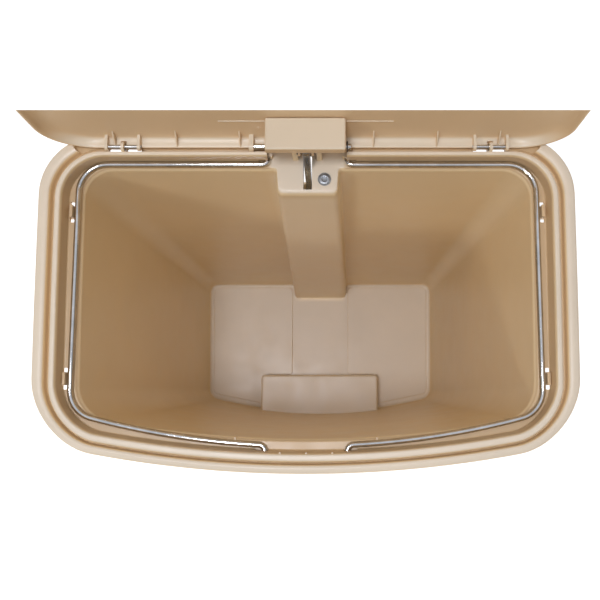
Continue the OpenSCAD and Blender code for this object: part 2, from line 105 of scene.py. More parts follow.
PEDAL_HALF, PEDAL_REAR, PEDAL_FRONT, PEDAL_TOP = 85, -62, -135, 4.05
PEDAL_RIM = 8


def back(d):
    """Y of a point d forward of the rim's rear edge."""
    return RIM_BACK - d


def mirrored(side, a, b):
    """X range from a to b, on the right for side 1 and on the left for side -1."""
    return sorted((side * a, side * b))


# --- Mesh helpers ---
def mesh_object(name, points, faces, smooth_angle=40):
    mesh = bpy.data.meshes.new(name)
    mesh.from_pydata([Vector(p) * MM for p in points], [], faces)
    bm = bmesh.new()
    bm.from_mesh(mesh)
    bmesh.ops.recalc_face_normals(bm, faces=bm.faces)
    bm.to_mesh(mesh)
    bm.free()
    obj = bpy.data.objects.new(name, mesh)
    bpy.context.scene.collection.objects.link(obj)
    shade(obj, smooth_angle)
    return obj


def shade(obj, angle=40):
    obj.data.shade_smooth()
    obj.data.set_sharp_from_angle(angle=math.radians(angle))


def weighted(obj):
    """Flat faces keep flat shading beside their rounded edges."""
    modifier = obj.modifiers.new("weighted", "WEIGHTED_NORMAL")
    modifier.keep_sharp = True
    modifier.weight = 100


def freeze(obj, angle=40):
    """Replaces obj's mesh with what its modifiers make of it."""
    graph = bpy.context.evaluated_depsgraph_get()
    made = bpy.data.meshes.new_from_object(obj.evaluated_get(graph))
    obj.modifiers.clear()
    obj.data = made
    shade(obj, angle)


def cut(obj, cutters):
    """Takes the closed cutter objects out of obj."""
    for cutter in cutters:
        modifier = obj.modifiers.new("cut", "BOOLEAN")
        modifier.operation = "DIFFERENCE"
        modifier.solver = "EXACT"
        modifier.object = cutter
    freeze(obj)
    for cutter in cutters:
        bpy.data.objects.remove(cutter)


def add(obj, others):
    """Joins the closed solids to obj as one mesh object."""
    graph = bpy.context.evaluated_depsgraph_get()
    bm = bmesh.new()
    for part in [obj] + others:
        part_mesh = bpy.data.meshes.new_from_object(part.evaluated_get(graph))
        part_mesh.transform(part.matrix_world)
        bm.from_mesh(part_mesh)
    obj.modifiers.clear()
    bm.to_mesh(obj.data)
    bm.free()
    for part in others:
        bpy.data.objects.remove(part)
    shade(obj)


def bevel(obj, width, segments=3, angle=30):
    modifier = obj.modifiers.new("bevel", "BEVEL")
    modifier.width = width * MM
    modifier.segments = segments
    modifier.limit_method = "ANGLE"
    modifier.angle_limit = math.radians(angle)
    modifier.harden_normals = False


def arc(cx, cy, r, a0, a1, n):
    return [
        (
            cx + r * math.cos(math.radians(a0 + (a1 - a0) * i / n)),
            cy + r * math.sin(math.radians(a0 + (a1 - a0) * i / n)),
        )
        for i in range(n + 1)
    ]


def rounded_rect(x0, x1, y0, y1, r, n=6):
    return (
        arc(x1 - r, y1 - r, r, 0, 90, n)
        + arc(x0 + r, y1 - r, r, 90, 180, n)
        + arc(x0 + r, y0 + r, r, 180, 270, n)
        + arc(x1 - r, y0 + r, r, 270, 360, n)
    )


def loft(name, loops, smooth_angle=40):
    """Solid through loops with equal point counts, closed by a flat face at each end."""
    n = len(loops[0])
    points = [p for loop in loops for p in loop]
    faces = [list(range(n))[::-1], [(len(loops) - 1) * n + j for j in range(n)]]
    for k in range(len(loops) - 1):
        for j in range(n):
            m = (j + 1) % n
            faces.append([k * n + j, k * n + m, (k + 1) * n + m, (k + 1) * n + j])
    return mesh_object(name, points, faces, smooth_angle)


def plate(name, outline_xy, z0, z1, edge=0.0, steps=3):
    """Upright prism over a plan outline; its top and bottom edges are rounded by edge."""
    cx = sum(p[0] for p in outline_xy) / len(outline_xy)
    cy = sum(p[1] for p in outline_xy) / len(outline_xy)

    def inset(t):
        out = []
        for x, y in outline_xy:
            away = Vector((x - cx, y - cy))
            length = max(away.length, 1e-6)
            away *= (length - t) / length
            out.append((cx + away.x, cy + away.y))
        return out

    if not edge:
        levels = [(z0, 0), (z1, 0)]
    else:
        turn = [math.pi / 2 * i / steps for i in range(steps + 1)]
        levels = [(z0 + edge * (1 - math.cos(a)), edge * (1 - math.sin(a))) for a in turn]
        levels += [(z1 - edge * (1 - math.sin(a)), edge * (1 - math.cos(a))) for a in turn]
    loops = [[(x, y, z) for x, y in inset(t)] for z, t in levels]
    return loft(name, loops)


def slab(name, x0, x1, d0, d1, z0, z1, r=0.6):
    """Box with rounded upright corners, between two distances from the rim's rear edge."""
    return plate(name, rounded_rect(x0, x1, back(d1), back(d0), r), z0, z1)


def rod(name, start, end, r, chamfer=0.4, sides=32):
    """Round bar from start to end with chamfered ends."""
    start, end = Vector(start), Vector(end)
    along = (end - start).normalized()
    across = along.orthogonal().normalized()
    third = along.cross(across)
    length = (end - start).length
    loops = []
    turn = [2 * math.pi * k / sides for k in range(sides)]
    for s, q in ((0, r - chamfer), (chamfer, r), (length - chamfer, r), (length, r - chamfer)):
        loops.append(
            [start + along * s + (across * math.cos(a) + third * math.sin(a)) * q for a in turn]
        )
    return loft(name, loops)


def sweep(name, path, r, sides=20):
    """Round wire along a path, with rounded ends."""
    n = len(path)
    loops = []
    turn = [2 * math.pi * k / sides for k in range(sides)]
    tangents = [
        (path[min(n - 1, i + 1)] - path[max(0, i - 1)]).normalized() for i in range(n)
    ]
    for i, (p, t) in enumerate(zip(path, tangents)):
        side = t.cross(Vector((0, 0, 1))).normalized()
        up = side.cross(t)
        rings = [(0, r)]
        if i in (0, n - 1):
            rings = [(r * 0.5, r * 0.5), (r * 0.18, r * 0.85), (0, r)]
        if i == n - 1:
            rings = rings[::-1]
        sign = -1 if i == 0 else 1
        for shift, q in rings:
            loops.append(
                [p + t * shift * sign + (side * math.cos(a) + up * math.sin(a)) * q for a in turn]
            )
    return loft(name, loops, 60)


# --- Moulded shells: rings of one plan outline at different sizes and heights ---
# A ring is (half width, rear depth, front depth, corner radius, bow of the front, height,
# column half width, how far the column stands in from the rear).
def outline(ring):
    w, dr, df, r, bow, z, column, out = ring
    rear, front = back(dr), back(df) + bow
    if out:
        fillet, nose = min(3, out * 0.3), min(6, out * 0.45)
        side = arc(column + fillet, rear - fillet, fillet, 90, 180, 4)
        side += arc(column - 1 - nose, rear - out + nose, nose, 0, -90, 6)
    else:
        side = [(column + 3 - i, rear) for i in range(12)]
    side += [(side[-1][0] * (1 - i / 5), rear - out) for i in range(1, 5)]
    points = side + [(0, rear - out)] + [(-x, y) for x, y in side[::-1]]

    def run(a, b, n):
        return [
            (a[0] + (b[0] - a[0]) * i / n, a[1] + (b[1] - a[1]) * i / n) for i in range(1, n)
        ]

    rear_left = arc(-w + r, rear - r, r, 90, 180, 14)
    front_left = arc(-w + r, front + r, r, 180, 270, 14)
    front_right = arc(w - r, front + r, r, 270, 360, 14)
    rear_right = arc(w - r, rear - r, r, 0, 90, 14)
    points += run(points[-1], rear_left[0], 10) + rear_left
    points += run(rear_left[-1], front_left[0], 8) + front_left
    points += run(front_left[-1], front_right[0], 40) + front_right
    points += run(front_right[-1], rear_right[0], 8) + rear_right
    points += run(rear_right[-1], side[0], 10)
    warped = []
    for x, y in points:
        t = min(1, max(0, (rear - y) / (rear - front)))
        bulge = bow * (1 - (x / w) ** 2) * t * t
        warped.append((x * (1 - FRONT_NARROWING * t * t), y - bulge, z))
    return warped


def rounded_rings(rings, radius=1.6, steps=3, span=45):
    """The same rings with each turn of the profile rounded and no stretch longer than span."""

    def mix(a, b, t):
        return tuple(p + (q - p) * t for p, q in zip(a, b))

    def gap(a, b):
        return math.hypot(max(abs(a[0] - b[0]), abs(a[1] - b[1]), abs(a[2] - b[2])), a[5] - b[5])

    out = [rings[0]]
    for before, here, after in zip(rings, rings[1:], rings[2:]):
        a = mix(here, before, min(0.46, radius / max(gap(here, before), 1e-6)))
        b = mix(here, after, min(0.46, radius / max(gap(here, after), 1e-6)))
        for i in range(steps + 1):
            t = i / steps
            out.append(mix(mix(a, here, t), mix(here, b, t), t))
    out.append(rings[-1])
    filled = [out[0]]
    for before, here in zip(out, out[1:]):
        pieces = 1 + int(gap(before, here) / span)
        filled += [mix(before, here, i / pieces) for i in range(1, pieces + 1)]
    return filled


def bin_shell():
    h, ledge, floor = RIM_H, LEDGE, FLOOR_H
    rings = [
        (150, 84, 240, 12, 20, floor, 48, 0),
        (181, 60, 268, 12, 24, floor, 43, COLUMN_BASE_OUT),
        (184, 57.6, 270.6, 14, 24, floor + 2, 44, COLUMN_BASE_OUT + 0.4),
        (185.4, 56.4, 271.4, 15, 24, floor + 8, 44, COLUMN_BASE_OUT + 0.6),
        (213.4, 28.4, 282.6, 27, 22, ledge - 5, COLUMN_TOP + 0.2, COLUMN_TOP_OUT - 0.5),
        (215.6, 26.4, 284.6, 29, 22, ledge, COLUMN_TOP - 0.8, COLUMN_TOP_OUT - 0.4),
        (226.8, 21.2, 292.8, 37, 24, ledge, 24, 0),
        (228.2, 20.8, 294.6, 39, 25, h - 3, 24, 0),
        (229.0, 20.2, 295.4, 39.6, 25, h, 24, 0),
        (233.4, 16.6, 300.8, 43, 26, h, 24, 0),
        (234.8, 15.4, 302.2, 44, 26, h - 4, 24, 0),
        (235.8, 14.6, 303, 44.6, 26.2, h - 9.6, 24, 0),
        (238.2, 12, 303.8, 46.8, 26.8, h - 9.6, 24, 0),
        (239.6, 10.4, 304.8, 48, 27, h - 1, 24, 0),
        (243.6, 6.6, 307.4, 51, 28, h, 24, 0),
        (248.4, 1.6, 311.2, 55, 29, h - 0.9, 24, 0),
        (HALF_W, 0, 312.5, 56, 29, h - 3, 24, 0),
        (HALF_W, 0, 312.5, 56, 29, h - 28, 24, 0),
        (HALF_W - WALL, WALL, 309.5, 54, 29, h - 28, 24, 0),
        (HALF_W - WALL, WALL, 309.5, 54, 29, h - 11.4, 24, 0),
        (235, 14, 301, 44, 26, h - 11.4, 24, 0),
        (230, 18, 296, 40, 25, ledge - WALL, 24, 0),
        (217, 25, 287, 30, 22, ledge - WALL, COLUMN_TOP - WALL, COLUMN_TOP_OUT - 0.6),
        (188.5, 53.4, 274.4, 18, 24, floor, COLUMN_BASE - WALL, COLUMN_BASE_OUT + 1.4),
        (188.4, 53.5, 274.3, 18, 24, floor - 0.5, COLUMN_BASE - WALL, 0),
        (186, 55.5, 272.5, 17, 24, 8, 24, 0),
        (183, 58.5, 269.5, 14, 24, 8, 24, 0),
        (185, 57, 271, 15, 24, floor - WALL, 24, 0),
    ]
    return loft("bin_shell", [outline(ring) for ring in rounded_rings(rings)], 50)


def toe_housing():
    """Raised cover over the toe space, with a soft top edge."""
    w, rear, front = 93.2, 211, 276
    cx = (rear + front) / 2

    def level(z, grow):
        n = 30
        r = 5
        loop = arc(w - r + grow, back(rear) - r + grow, r, 0, 90, 5)
        loop += arc(-w + r - grow, back(rear) - r + grow, r, 90, 180, 5)
        for i in range(n + 1):
            x = (-w - grow) + 2 * (w + grow) * i / n
            loop.append((x, back(front) + FLOOR_BOW * (x / FLOOR_HALF) ** 2))
        return [(x, y, z) for x, y in loop]

    turn = [math.pi / 2 * i / 5 for i in range(6)]
    loops = [level(FLOOR_H - WALL, 1.6), level(101.4, 0)]
    loops += [level(101.4 + 3.6 * math.sin(a), -3.6 * (1 - math.cos(a))) for a in turn[1:]]
    return loft("toe_cover", loops)


def floor_pad(side):
    """Slightly raised field of the floor beside the middle strip."""
    inner, rear, front = 46, 63, 208.5

    def level(z, grow):
        r = 7
        loop = arc(inner + r - grow, back(rear) - r + grow, r, 180, 90, 5)
        loop += arc(178 - r + grow, back(rear) - r + grow, r, 90, 0, 5)
        loop += arc(176 - r + grow, back(241) + r - grow, r, 0, -80, 5)
        loop += [(95.5, back(256) - grow), (95.5, back(front) - grow)]
        loop += arc(inner + 4 - grow, back(front) + 4 - grow, 4, -90, -180, 4)
        return [(side * x, y, z) for x, y in loop]

    steps = ((-1, 0), (1.2, 0), (1.9, -0.5), (2, -1.4))
    return loft("pad", [level(FLOOR_H + rise, grow) for rise, grow in steps])


def floor_strip():
    """Middle strip of the floor, in three shallow steps from the column to the toe cover."""
    parts = []
    for i, (d0, d1) in enumerate(((82, 124), (124, 168), (168, 209))):
        parts.append(
            slab("strip", -42.5, 42.5, d0, d1, FLOOR_H - 1, FLOOR_H + 1.4 - 0.35 * i, r=2)
        )
    return parts


def side_hinge_lug(side):
    x = side * SIDE_HINGE_X
    lug = slab("lug", x - 1.4, x + 1.4, 7.9, 16.5, RIM_H - 10, HINGE.z, r=0.5)
    barrel = rod("barrel", (x - 1.4, HINGE.y, HINGE.z), (x + 1.4, HINGE.y, HINGE.z), 4.6, 0.3)
    return [lug, barrel]


def bar_slot():
    """Cutter for the slot in the ledge that the lift bar passes through."""
    half_w, rear, front = 4.25, 14.5, 48.5
    return slab("cut", -half_w, half_w, rear, front, LEDGE - WALL - 1, LEDGE + 1, r=1.6)


def toe_space():
    """Cutter for the toe opening over the pedal, open below and in front."""
    half_w, rear, front, top = 90.2, 214, 330, 102
    corners = [(half_w, rear), (-half_w, rear), (-half_w, front), (half_w, front)]
    return plate("cut", [(x, back(d)) for x, d in corners], -1, top)


def ledge_ribs():
    """Small upright ribs: two under the ledge's front edge, three on the wall behind it."""
    half_t, r = 0.8, 0.5
    places = [(x, 281, 283.6, LEDGE - 8, LEDGE + 0.9) for x in (-65, 65)]
    places += [
        (x, front - 2.2, front, LEDGE - 0.5, RIM_H - 3)
        for x, front in ((-23, 295.6), (0.5, 295.8), (24, 295.6))
    ]
    return [slab("rib", x - half_t, x + half_t, d0, d1, z0, z1, r) for x, d0, d1, z0, z1 in places]


def body_cutters():
    """Everything that is taken out of the body: pockets, notches, slots and holes."""
    bolt_y, under, over = back(BOLT_DEPTH), LEDGE - WALL - 1, LEDGE + 1
    cutters = [
        slab("cut", -37.4, 37.4, 4, 24, LEDGE + 0.05, RIM_H + 1, r=2.5),
        slab("cut", -219, 219, -1, 17.1, RIM_H - 8, RIM_H + 2, r=8),
        toe_space(),
        slab("cut", -30, 30, 56, 76.5, FLOOR_H - WALL - 1, FLOOR_H + 1, r=2),
        slab("cut", -9, 9, 55.6, 61, 28, FLOOR_H - 0.4, r=1.5),
        bar_slot(),
        rod("cut", (BOLT_X, bolt_y, under), (BOLT_X, bolt_y, over), BOLT_HOLE_R),
    ]
    for side in (-1, 1):
        for shift in (-8.4, 8.4):
            x = side * SIDE_HINGE_X + shift
            cutters.append(slab("cut", x - 6.6, x + 6.6, 11.5, 16.6, RIM_H - 14, RIM_H, r=1.1))
        x0, x1 = mirrored(side, 221.2, 225.4)
        for d in CLIP_DEPTHS:
            cutters.append(slab("cut", x0, x1, d - 10, d + 10, LEDGE - 4, over, r=0.9))
        x0, x1 = mirrored(side, 34.3, 46.5)
        for d0, d1 in ((18.2, 22), (290.5, 293.9)):
            cutters.append(slab("cut", x0, x1, d0, d1, LEDGE + 0.05, WIRE_Z + 3.2, r=1.2))
        x = side * WIRE_END_X
        for d0, d1 in ((22, 14), (303, 291)):
            cutters.append(rod("cut", (x, back(d0), WIRE_Z), (x, back(d1), WIRE_Z), WIRE_R + 0.1))
    return cutters


def build_bin_body():
    body = bin_shell()
    cut(body, body_cutters())

    cover = toe_housing()
    cut(cover, [toe_space()])
    shelf = slab("shelf", -40.4, 40.4, 4, 24.5, LEDGE - WALL, LEDGE + 0.08, r=2)
    cut(shelf, [bar_slot()])
    extras = [cover, floor_pad(1), floor_pad(-1)] + floor_strip() + [shelf] + ledge_ribs()
    for side in (-1, 1):
        x0, x1 = mirrored(side, 37.4, 40.4)
        extras.append(slab("cheek", x0, x1, 3, 21, LEDGE - WALL, RIM_H - 8, r=0.8))
        x0, x1 = mirrored(side, 33.4, 43)
        extras.append(slab("boss", x0, x1, 14.5, 18.2, LEDGE - 1, LEDGE + 8, r=1.2))
        x0, x1 = mirrored(side, 8.5, 14)
        extras.append(slab("lug", x0, x1, 5.5, 19.5, LEDGE - 1, HINGE.z, r=1))
        extras.append(rod("lug", (x0, HINGE.y, HINGE.z), (x1, HINGE.y, HINGE.z), LUG_R, 0.6))
        extras += side_hinge_lug(side)
        x = side * FOOT_X
        for d in FOOT_DEPTHS:
            sleeve = rod("sleeve", (x, back(d), 8), (x, back(d), 58), 12, 0.5)
            cut(sleeve, [rod("cut", (x, back(d), 7), (x, back(d), 37), 5)])
            extras.append(sleeve)
    add(body, extras)
    body.name = "body_moulding"
    weighted(body)
    return body


# --- Lid, drawn closed with its origin on the hinge line, then swung open ---
LID_PLACE = Matrix.Translation(HINGE * MM) @ Matrix.Rotation(math.radians(-OPEN_ANGLE), 4, "X")


def swing_open(obj):
    obj.data.transform(LID_PLACE)
    return obj


def lid_point(p):
    """A ring point moved so that the hinge line is the origin."""
    return (p[0], p[1] - HINGE.y, p[2])


def cheek(name, x0, x1, side_outline, edge=0.0):
    """Plate across X over a (y, z) outline."""
    obj = loft(name, [[(x, y, z) for y, z in side_outline] for x in (x0, x1)], 30)
    if edge:
        bevel(obj, edge, 3)
        freeze(obj)
    return obj


def build_lid_shell():
    rings = [
        (60, 128, 172, 16, 4, 22, 24, 0),
        (150, 70, 224, 28, 14, 19, 24, 0),
        (225, 15, 284, 40, 24, 14.2, 24, 0),
        (234, 9, 292, 43, 25, 11.6, 24, 0),
        (238.6, 7.4, 296.6, 45, 26, 6.6, 24, 0),
        (240.2, 7, 298, 46, 26, 0.3, 24, 0),
        (237.4, 9.8, 295.4, 43, 25, 0.3, 24, 0),
        (234.4, 10.2, 293.2, 41, 25, 5.4, 24, 0),
        (229, 11.4, 288.6, 38, 24, 9.2, 24, 0),
        (222, 16, 283, 35, 23, 10.4, 24, 0),
        (150, 72, 222, 26, 14, 15.4, 24, 0),
        (60, 130, 170, 14, 4, 17.8, 24, 0),
    ]
    loops = [[lid_point(p) for p in outline(ring)] for ring in rounded_rings(rings, 4, 4)]
    lid = loft("lid_moulding", loops, 50)
    cutters = [plate("cut", rounded_rect(-15.5, 15.5, 1, 7, 1), -1, 8.6)]
    for side in (-1, 1):
        x = side * SIDE_HINGE_X
        cutters.append(plate("cut", rounded_rect(x - 2.6, x + 2.6, 1.5, 7.5, 0.5), -1, 6.4))
    cut(lid, cutters)
    boss_r = 4.5
    boss_side = arc(0, 0, boss_r, 180, 360, 16) + [(boss_r, 11), (-boss_r, 11)]
    boss = cheek("boss", -54, -49.4, boss_side, 0.5)
    cut(boss, [rod("cut", (-60, 0, 0), (-40, 0, 0), ROD_R + 0.03)])
    ridge = [(-27.6, 13.6), (-28.4, 12.2), (-29.8, 12.1), (-30.6, 14)]
    extras = [boss, cheek("ridge", -79, 79, ridge, 0.3)]
    gusset = [(3.4, 0.8), (3.4, 10), (-2, 12), (-12, 12), (-10.5, 10.6), (-3, 4.4)]
    for side in (-1, 1):
        for x in (62.3, 121.5, 179.4):
            extras.append(cheek("gusset", side * x - 0.7, side * x + 0.7, gusset, 0.3))
        for shift in (-EAR_OFFSET, EAR_OFFSET):
            x = side * SIDE_HINGE_X + shift
            ear = arc(0, 0, 3.9, 180, 360, 14) + [(3.9, 10.6), (-3.9, 10.6)]
            extras.append(cheek("ear", x - 1.5, x + 1.5, ear, 0.4))
    add(lid, extras)
    weighted(lid)
    return swing_open(lid)


def build_lid_box():
    deep, reach = -17.4, -38
    thick = 2.4
    side = [(1.9, 4.8), (1.9, -3), (-1, -6.5), (-20, -8), (-28.5, deep), (reach, deep)]
    side += [(reach, 12.8), (-4.2, 9.8), (0.6, 8.2)]
    inner = [(9, 16), (9, -22), (-28.5, -22), (-28.5, deep + thick)]
    inner += [(reach + thick, deep + thick), (reach + thick, 16)]
    rib = [(-10, 9), (-10, -7), (-14, -14.5), (-25, -14.5), (-27.5, -8), (-27.5, 10)]
    box = cheek("pivot_box", -BOX_HALF, BOX_HALF, side)
    bevel(box, 4.2, 6, 20)
    freeze(box)
    cut(box, [
        cheek("cut", -BOX_HALF + thick, BOX_HALF - thick, inner),
        rod("cut", (-40, 0, 0), (40, 0, 0), ROD_R + 0.03),
    ])
    pin = LIFT_PIN - HINGE
    turned = Matrix.Rotation(math.radians(OPEN_ANGLE), 3, "X") @ pin
    extras = []
    for s in (-1, 1):
        x0, x1 = mirrored(s, 5, 7.4)
        plate_rib = cheek("rib", x0, x1, rib, 0.4)
        cut(plate_rib, [rod("cut", (-12, turned.y, turned.z), (12, turned.y, turned.z), 3.02)])
        extras.append(plate_rib)
        x0, x1 = mirrored(s, 7.2, 33.8)
        extras.append(cheek("web", x0, x1, [(-12, 4), (-12, 6.4), (-37, 6.4), (-37, 4)]))
    add(box, extras)
    weighted(box)
    return swing_open(box)


def build_hinge_rod():
    bar = rod("hinge_rod_chrome", (-53, 0, 0), (42, 0, 0), ROD_R, 0.7, 40)
    return swing_open(bar)


# --- Bag wire ---
def wire_path(side):
    """Path of one half of the bag wire, from its rear end round to its front end."""
    back_y, half, corner, bow_r, bend = back(24.4), 217.4, 27, 785, WIRE_BEND
    bow_y = back(288.8) + bow_r
    corner_x = half - corner
    corner_y = bow_y - math.sqrt((bow_r - corner) ** 2 - corner_x**2)
    corner_a = math.degrees(math.acos((bow_y - corner_y) / (bow_r - corner)))
    end_x = WIRE_END_X + bend
    end_a = math.degrees(math.asin(end_x / (bow_r + bend)))
    end_y = bow_y - (bow_r + bend) * math.cos(math.radians(end_a))
    path = [(WIRE_END_X, back(16.2)), (WIRE_END_X, back_y + bend + 0.4)]
    path += arc(end_x, back_y + bend, bend, 180, 270, 10)
    path += [(end_x + (corner_x - end_x) * i / 30, back_y) for i in range(1, 30)]
    path += arc(corner_x, back_y - corner, corner, 90, 0, 16)
    run = corner_y - back_y + corner
    path += [(half, back_y - corner + run * i / 40) for i in range(1, 40)]
    path += arc(corner_x, corner_y, corner, 0, corner_a - 90, 14)
    path += arc(0, bow_y, bow_r, corner_a - 90.6, end_a - 90, 40)
    path += arc(end_x, end_y, bend, 90 + end_a, 180, 10)
    path += [(WIRE_END_X, end_y - 0.4), (WIRE_END_X, back(298.2))]
    return [Vector((side * x, y, WIRE_Z)) for x, y in path]


def build_wire(side):
    name = "chrome_wire_right" if side > 0 else "chrome_wire_left"
    return sweep(name, wire_path(side), WIRE_R, 24)


def build_wire_clips():
    """Upright tabs beside the bag wire, each with a hook under the ledge."""
    shapes = (("tab", 224.2, LEDGE + 6.4), ("hook", 226.2, LEDGE - WALL - 0.3))
    parts = []
    for side in (-1, 1):
        for d in CLIP_DEPTHS:
            for name, outer, top in shapes:
                x0, x1 = mirrored(side, 221.5, outer)
                parts.append(slab(name, x0, x1, d - 6, d + 6, LEDGE - 6, top, r=0.8))
    for part in parts:
        bevel(part, 0.5)
    tabs = parts[0]
    add(tabs, parts[1:])
    tabs.name = "snap_tabs"
    return tabs


# --- Lift bar, bolt and pedal ---
def build_lift_bar():
    """Flat bar with a round eye that hangs from the lift pin."""
    half_t, half_w, eye = 3.0, 5.0, 6.6
    end = 8 - BAR_LENGTH
    neck = math.degrees(math.asin(half_w / eye))
    profile = [(-half_w, end), (half_w, end)]
    profile += [(half_w, end * k / 12) for k in range(11, 0, -1)]
    profile += arc(0, 0, eye, neck - 90, 270 - neck, 30)
    profile += [(-half_w, end * k / 12) for k in range(1, 12)]
    bar = cheek("lift_bar_steel", -half_t, half_t, profile)
    cut(bar, [rod("cut", (-6, 0, 0), (6, 0, 0), 3.06)])
    bevel(bar, 0.5, 3, 40)
    place = Matrix.Translation(LIFT_PIN * MM) @ Matrix.Rotation(math.radians(-BAR_LEAN), 4, "X")
    bar.data.transform(place)
    return bar


def build_guide_bolt():
    """Pan-head rivet bolt on a washer, with a shallow recess."""
    sides = 48
    x, y, z = BOLT_X, back(BOLT_DEPTH), LEDGE + 0.05
    washer = [(BOLT_R, -16), (BOLT_R, 0), (6.2, 0), (6.4, 0.2), (6.4, 0.6), (6.2, 0.8)]
    head = [(5.8, 0.8), (5.8, 1.1), (5.5, 1.6), (4.9, 1.9), (3.9, 2.08), (2.7, 2.1)]
    recess = [(2.4, 2.0), (2.2, 1.4), (1.0, 1.3)]
    turn = [2 * math.pi * k / sides for k in range(sides)]
    loops = [
        [(x + r * math.cos(a), y + r * math.sin(a), z + h) for a in turn]
        for r, h in washer + head + recess
    ]
    return loft("guide_bolt_head", loops, 35)


LEVER_PLACE = Matrix.Translation(LEVER_PIVOT * MM) @ Matrix.Rotation(
    math.radians(LEVER_SWING), 4, "X"
)


def pedal_outline(inset, r, n):
    """Plan of the pedal, smaller by inset all round."""
    half = PEDAL_HALF - inset
    return rounded_rect(-half, half, PEDAL_FRONT + inset, PEDAL_REAR - inset, r, n)


def build_pedal_pad():
    top = PEDAL_TOP
    pad = plate("pedal_plate", pedal_outline(0, 9, 10), top, top + 8, 1.6, 4)
    cut(pad, [plate("cut", pedal_outline(PEDAL_RIM, 5, 8), top + 6.4, top + 12)])
    weighted(pad)
    pad.data.transform(LEVER_PLACE)
    return pad


def build_pedal_tread():
    top, pitch, rib_inset = PEDAL_TOP, 8, 16
    mat = plate("tread_mat", pedal_outline(PEDAL_RIM + 0.2, 5, 8), top + 6.4, top + 8, 0.4, 3)
    ribs = []
    half = PEDAL_HALF - rib_inset
    y = PEDAL_FRONT + 14
    while y <= PEDAL_REAR - 12:
        strip = rounded_rect(-half, half, y - 1.5, y + 1.5, 1.4, 5)
        ribs.append(plate("rib", strip, top + 7.9, top + 9.2, 0.5, 3))
        y += pitch
    add(mat, ribs)
    mat.data.transform(LEVER_PLACE)
    return mat


# --- Materials ---
class Shader:
    """A small helper that adds and links nodes in one material."""

    def __init__(self, name, roughness, metallic=0.0):
        self.material = bpy.data.materials.new(name)
        self.material.use_nodes = True
        self.tree = self.material.node_tree
        self.surface = self.tree.nodes["Principled BSDF"]
        self.surface.inputs["Roughness"].default_value = roughness
        self.surface.inputs["Metallic"].default_value = metallic
        coordinates = self.tree.nodes.new("ShaderNodeTexCoord").outputs
        self.where, self.facing = coordinates["Object"], coordinates["Normal"]

    def node(self, kind, **inputs):
        made = self.tree.nodes.new(kind)
        for key, value in inputs.items():
            socket = made.inputs[key.replace("_", " ")]
            if isinstance(value, bpy.types.NodeSocket):
                self.tree.links.new(value, socket)
            else:
                socket.default_value = value
        return made

    def link(self, output, socket):
        self.tree.links.new(output, socket)

    def stretch(self, x, y, z):
        mapped = self.node("ShaderNodeMapping", Vector=self.where)
        mapped.inputs["Scale"].default_value = (x, y, z)
        return mapped.outputs["Vector"]

    def noise(self, scale, detail=4.0, rough=0.55, vector=None):
        made = self.node(
            "ShaderNodeTexNoise",
            Vector=vector or self.where,
            Scale=scale,
            Detail=detail,
            Roughness=rough,
        )
        return made.outputs["Fac"]

    def ramp(self, factor, low, high, start, end):
        """Value that runs from start to end as factor goes from low to high."""
        made = self.node("ShaderNodeMapRange", Value=factor)
        made.inputs["From Min"].default_value = low
        made.inputs["From Max"].default_value = high
        made.inputs["To Min"].default_value = start
        made.inputs["To Max"].default_value = end
        return made.outputs["Result"]

    def split(self, vector, axis="Z"):
        made = self.tree.nodes.new("ShaderNodeSeparateXYZ")
        self.link(vector, made.inputs[0])
        return made.outputs[axis]

    def outward(self):
        """How far a surface faces away from the upright axis, times its distance from it."""
        made = self.tree.nodes.new("ShaderNodeVectorMath")
        made.operation = "DOT_PRODUCT"
        self.link(self.stretch(1, 1, 0), made.inputs[0])
        self.link(self.facing, made.inputs[1])
        return made.outputs["Value"]

    def math(self, operation, *values):
        made = self.tree.nodes.new("ShaderNodeMath")
        made.operation = operation
        for value, socket in zip(values, made.inputs):
            self.link(value, socket)
        return made.outputs[0]

    def mix(self, factor, a, b):
        made = self.tree.nodes.new("ShaderNodeMix")
        made.data_type = "RGBA"
        self.link(factor, made.inputs["Factor"])
        for socket, value in ((made.inputs[6], a), (made.inputs[7], b)):
            if isinstance(value, bpy.types.NodeSocket):
                self.link(value, socket)
            else:
                socket.default_value = (*value, 1)
        return made.outputs[2]

    def bump(self, height, strength, distance=0.001, normal=None):
        made = self.node("ShaderNodeBump", Height=height, Strength=strength, Distance=distance)
        if normal:
            self.link(normal, made.inputs["Normal"])
        return made.outputs["Normal"]

    def finish(self, colour=None, roughness=None, normal=None):
        if colour:
            self.link(colour, self.surface.inputs["Base Color"])
        if roughness:
            self.link(roughness, self.surface.inputs["Roughness"])
        if normal:
            self.link(normal, self.surface.inputs["Normal"])
        return self.material


def srgb(r, g, b):
    def linear(v):
        v /= 255
        return v / 12.92 if v <= 0.04045 else ((v + 0.055) / 1.055) ** 2.4

    return tuple(linear(v) for v in (r, g, b))


